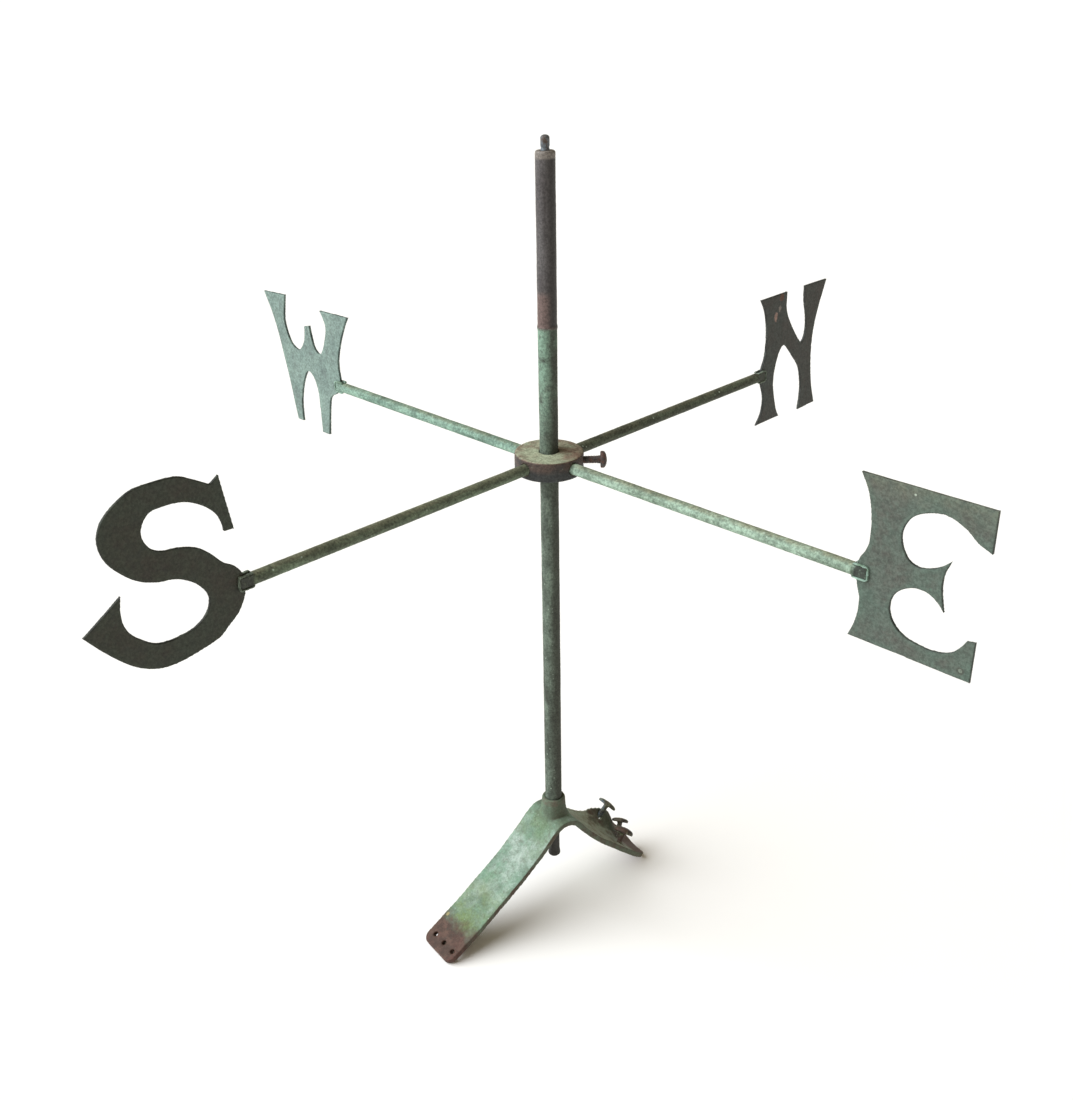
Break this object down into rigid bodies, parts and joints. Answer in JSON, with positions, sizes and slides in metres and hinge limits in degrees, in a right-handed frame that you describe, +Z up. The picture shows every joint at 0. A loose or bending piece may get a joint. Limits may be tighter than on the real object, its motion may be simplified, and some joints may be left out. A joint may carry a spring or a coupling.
{
  "type": "wind vane base with compass directional",
  "caption": "Wind vane base: round mast on a forged roof saddle, with a clamped hub, crossed arms, compass letter plates and a bare spindle for the turning figure.",
  "frame": {"origin": "on the mast's axis, level with the ends of the saddle's legs, which stand on the surface below", "axes": "+Z up the mast, +X towards the letter E, +Y towards the letter N"},
  "size_m": [0.632, 0.656, 0.581],
  "materials": {
    "saddle_verdigris": "cast bronze under matt pale verdigris, red-brown and bare at the near leg's end",
    "mast_bronze": "dark bronze, green verdigris below the spindle",
    "pin_steel": "dull grey steel",
    "hub_bronze": "dark brown bronze with pale green patches",
    "screw_brown": "dull purple-brown tarnish",
    "arm_verdigris": "pale verdigris with a tan upper edge",
    "arm_dark": "dark olive-grey tarnish",
    "letter_plate": "grey-green tarnish, greener along the edges",
    "braze_metal": "pale green crust over braze metal",
    "screw_bronze": "dull brown-green tarnish"
  },
  "bodies": {
    "stand": {"saddle": "saddle_verdigris", "mast": "mast_bronze", "pivot_pin": "pin_steel"},
    "directional": {"hub": "hub_bronze", "arm_north": "arm_dark", "arm_east": "arm_verdigris", "arm_south": "arm_dark", "arm_west": "arm_verdigris", "letter_n": "letter_plate", "letter_e": "letter_plate", "letter_s": "letter_plate", "letter_w": "letter_plate", "braze_north": "braze_metal", "braze_east": "braze_metal", "braze_south": "braze_metal", "braze_west": "braze_metal"},
    "set_screw": {"set_screw": "screw_brown"},
    "roof_screw_1": {"roof_screw_1": "screw_bronze"},
    "roof_screw_2": {"roof_screw_2": "screw_bronze"},
    "roof_screw_3": {"roof_screw_3": "screw_bronze"}
  },
  "joints": [
    {"name": "directional_turn", "type": "hinge", "parent": "stand", "child": "directional", "pos_m": [0, 0, 0.372], "axis": [0, 0, 1], "continuous": true},
    {"name": "set_screw_turn", "type": "hinge", "parent": "directional", "child": "set_screw", "pos_m": [0.02103, 0.0214, 0.372], "axis": [0.7009, 0.7133, 0], "range_deg": [0, 1080]},
    {"name": "roof_screw_1_slide", "type": "slide", "parent": "stand", "child": "roof_screw_1", "axis": [0.1174, 0.7415, 0.6606], "range_m": [-0.001, 0.003]},
    {"name": "roof_screw_2_slide", "type": "slide", "parent": "stand", "child": "roof_screw_2", "axis": [-0.3037, 0.5656, 0.7667], "range_m": [-0.001, 0.003]},
    {"name": "roof_screw_3_slide", "type": "slide", "parent": "stand", "child": "roof_screw_3", "axis": [-0.1235, 0.6855, 0.7175], "range_m": [-0.001, 0.003]}
  ]
}
